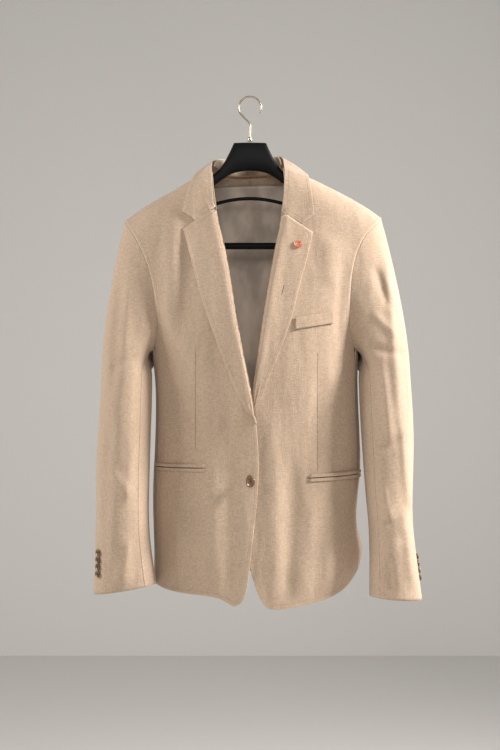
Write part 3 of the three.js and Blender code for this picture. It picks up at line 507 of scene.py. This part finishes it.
def neighbours(name):
    """Pieces that a piece's rim is sewn to, how far it reaches and how deep it follows."""
    side = name.rsplit("_", 1)[-1]
    if name.startswith("sleeve"):
        return [f"front_{side}", f"side_{side}", f"back_{side}"], 0.009, 0.035
    if name.startswith("lapel"):
        return [f"front_{side}"], 0.013, 0.014
    if name == "collar_fall":
        return ["lapel_right", "lapel_left"], 0.0075, 0.02
    if name.startswith("side"):
        return [f"front_{side}", f"back_{side}"], 0.002, 0.01
    if name.startswith("back"):
        return [f"front_{side}"], 0.002, 0.01
    return [], 0, 1


def finish_piece(piece, name, material):
    """Gives a piece its material, says what it rides on and hides the node it was made from."""
    piece.data.materials.append(material)
    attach(piece, "root")
    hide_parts(name)


STITCHED = ("lapel", "collar_fall")
for name, (width, length, share) in CLOTH_FLAT.items():
    piece = smooth_copy(name, 2 if name.startswith(("pocket", "breast")) else 3)
    sew_and_crease(piece, name, *neighbours(name))
    kind = name if name in CLOTHS else "stitched" if name.startswith(STITCHED) else slots[name]
    finish_piece(piece, name, CLOTHS.get(kind) or FINISHES[kind])
print("cloth pieces:", len(CLOTH_FLAT))

# %% [markdown]
# The hanger's parts come as facets too, so each is replaced by a smooth copy with its ends
# kept crisp. A button is one surface: a profile turned about its axis, sunk in the middle and
# again in four round holes. A cross of two threads lies over them.

# %% hanger and buttons
SMOOTH = ("hanger_body", "hanger_hook", "hanger_brace", "trouser_bar", "hook_ferrule")
for name in SMOOTH:
    finish_piece(smooth_copy(name, 2), name, FINISHES[slots[name]])

# A button's profile from its foot, over its rim, to its sunk middle: shares of its radius and
# of its thickness. Its last rows are the flat middle.
RADIUS_SHARE = np.array([0, 0.6, 0.85, 0.97, 1, 1, 0.98, 0.93, 0.86, 0.78, 0.7, 0.62])
HEIGHT_SHARE = np.array([0, 0, 0.06, 0.2, 0.4, 0.65, 0.88, 1, 1, 0.96, 0.84, 0.74])
MIDDLE_ROWS = 14
TURN_STEPS = 48
HOLE_PLACE, HOLE_SIZE, HOLE_SINK = 0.2, 0.085, 0.5  # shares of the radius and the thickness
# A thread's half length and half width as shares of the radius, and its height over the foot
# as a share of the thickness.
THREAD_REACH, THREAD_WIDTH, THREAD_HEIGHT = 0.24, 0.055, 0.72
SIDE_LEAN, FORWARD_LEAN = 0.6, 0.02  # how a button's outward way follows from its place


def turned_surface(name, points):
    """A mesh on a grid of points, joined round its second direction."""
    rows, columns = points.shape[:2]
    at = np.arange(rows * columns).reshape(rows, columns)
    turned = np.roll(at, -1, axis=1)
    quads = np.stack([at[:-1], turned[:-1], turned[1:], at[1:]], axis=-1).reshape(-1, 4)
    mesh = bpy.data.meshes.new(name)
    mesh.from_pydata(points.reshape(-1, 3), [], quads.tolist())
    mesh.polygons.foreach_set("use_smooth", np.ones(len(quads), dtype=bool))
    piece = bpy.data.objects.new(name, mesh)
    bpy.context.scene.collection.objects.link(piece)
    return piece


class Seat:
    """Where a button sits: its middle, three directions, radius, foot and thickness.

    It faces away from the body's middle: forwards or backwards, and a little to its own side.
    """

    def __init__(self, name):
        points = points_of(nodes[name].data)
        self.middle = points.mean(0)
        spread = points - self.middle
        thinnest = np.linalg.svd(spread, full_matrices=False)[2][2]
        depth = self.middle[1] - FORWARD_LEAN if self.middle[1] < 0 else self.middle[1]
        outwards = np.array([self.middle[0] * SIDE_LEAN, depth, 0])
        self.facing = thinnest * np.sign(thinnest @ outwards)
        across = np.cross(self.facing, [0, 0, 1.0])
        self.across = across / np.linalg.norm(across)
        self.up = np.cross(self.across, self.facing)
        reach = spread @ self.facing
        self.radius = np.abs(spread @ self.up).max()
        self.foot = reach.min()
        self.thick = reach.max() - reach.min()

    def place(self, x, z, height):
        """Points in space from grids of places across, up and out."""
        return (
            self.middle
            + x[..., None] * self.across
            + z[..., None] * self.up
            + height[..., None] * self.facing
        )


def horn_grid(seat):
    """height(r, a) = profile(r) - sum over four holes of HOLE_SINK exp(-(d / bell)^2)."""
    flat_middle = np.linspace(0.55, 0, MIDDLE_ROWS)
    share = np.concatenate([RADIUS_SHARE, flat_middle])
    rise = np.concatenate([HEIGHT_SHARE, np.full(MIDDLE_ROWS, 0.7)])
    angle = np.linspace(0, 2 * np.pi, TURN_STEPS, endpoint=False)
    r, a = np.meshgrid(share * seat.radius, angle, indexing="ij")
    x, z = r * np.cos(a), r * np.sin(a)
    height = np.repeat((rise * seat.thick)[:, None], TURN_STEPS, axis=1)
    inner = slice(len(RADIUS_SHARE), None)
    place, bell = HOLE_PLACE * seat.radius, HOLE_SIZE * seat.radius
    for side, level in ((1, 1), (1, -1), (-1, 1), (-1, -1)):
        off = ((x - side * place) ** 2 + (z - level * place) ** 2) / bell**2
        height[inner] -= HOLE_SINK * seat.thick * np.exp(-off[inner])
    return seat.place(x, z, height + seat.foot)


def thread_grid(seat, lean, step):
    """A tube along a diagonal, t from -1 to 1, that dives into the holes by t^6."""
    t = np.linspace(-1, 1, 25)[:, None]
    turn = np.linspace(0, 2 * np.pi, 8, endpoint=False)[None, :]
    wire = THREAD_WIDTH * seat.radius
    run = t * THREAD_REACH * seat.radius
    over = THREAD_HEIGHT * seat.thick + seat.foot + wire * (1.2 - 2.2 * t**6) + step * wire * 0.8
    sideways = wire * np.cos(turn) * 1.4
    return seat.place(run + sideways * lean, run * lean - sideways, over + wire * np.sin(turn))


def button(name):
    seat = Seat(name)
    face = turned_surface(f"{name}_horn", horn_grid(seat))
    for step, lean in enumerate((1, -1)):
        thread = turned_surface(f"{name}_thread_{step}", thread_grid(seat, lean, step))
        finish_piece(thread, name, THREAD)
    finish_piece(face, name, FINISHES["horn"])


buttons = [name for name in nodes if "button" in name]
for name in buttons:
    button(name)
print("buttons:", len(buttons))

# %% the pin takes its enamel
for name, node in nodes.items():
    if name not in CLOTH_FLAT and name not in SMOOTH and name not in buttons:
        node.data.materials.clear()
        node.data.materials.append(FINISHES[slots[name]])
        print("kept:", name)

# %% [markdown]
# A pale wall and floor stand well behind and below. The cloth is lit from both sides: a strong
# key from the right, a lamp behind it that rims the sleeve, and a softer one from the left. A
# broad, weak lamp fills in from the front, and a small one reaches the lining in the neck. The
# camera is level with the middle of the jacket.

# %% backdrop, lamps and camera


def backdrop(name, corners):
    mesh = bpy.data.meshes.new(name)
    mesh.from_pydata(corners, [], [(0, 1, 2, 3)])
    card = bpy.data.objects.new(name, mesh)
    bpy.context.scene.collection.objects.link(card)
    paper = Finish(name, 0.9)
    paper.colour((0.8, 0.79, 0.77, 1))
    mesh.materials.append(paper.material)


LEFT, RIGHT = -6, 6
FRONT, WALL, BACK = -5, 4.6, 5
FLOOR, TOP = -1.9, 4
backdrop("floor", [(LEFT, FRONT, FLOOR), (RIGHT, FRONT, FLOOR), (RIGHT, BACK, FLOOR), (LEFT, BACK, FLOOR)])
backdrop("wall", [(LEFT, WALL, FLOOR), (RIGHT, WALL, FLOOR), (RIGHT, WALL, TOP), (LEFT, WALL, TOP)])


def lamp(name, place, aim, size, power):
    """A square lamp of a size in metres and a power in watts that faces its aim."""
    light = bpy.data.lights.new(name, "AREA")
    light.color = (1, 0.96, 0.92)
    light.size = size
    light.energy = power
    thing = bpy.data.objects.new(name, light)
    thing.location = place
    direction = np.array(place) - np.array(aim)
    flat = math.hypot(direction[0], direction[1])
    thing.rotation_euler = (math.atan2(flat, direction[2]), 0, math.atan2(direction[0], -direction[1]))
    bpy.context.scene.collection.objects.link(thing)


MIDDLE = (0, 0, -0.45)
lamp("front", (-0.2, -3.2, 0.5), MIDDLE, 1.8, 17)
lamp("key", (2.4, -0.55, 0.8), MIDDLE, 0.6, 130)
lamp("right_rear", (1.9, 1.2, 0.4), MIDDLE, 0.8, 50)
lamp("neck", (0.05, -1.5, 0.1), (0, 0, -0.25), 0.3, 2.5)
lamp("left", (-2.5, -0.4, 0.6), MIDDLE, 0.8, 52)
world = bpy.data.worlds.new("room")
world.use_nodes = True
world.node_tree.nodes["Background"].inputs["Color"].default_value = (1, 0.97, 0.93, 1)
world.node_tree.nodes["Background"].inputs["Strength"].default_value = 0.17
bpy.context.scene.world = world

camera = bpy.data.cameras.new("camera")
camera.lens = 67.2
camera.sensor_fit = "VERTICAL"
camera.sensor_height = 36
eye = bpy.data.objects.new("camera", camera)
eye.location = (0, -2.45, -0.4856)
eye.rotation_euler = (math.radians(90), 0, 0)
bpy.context.scene.collection.objects.link(eye)
bpy.context.scene.camera = eye
bpy.context.scene.view_settings.view_transform = "Standard"
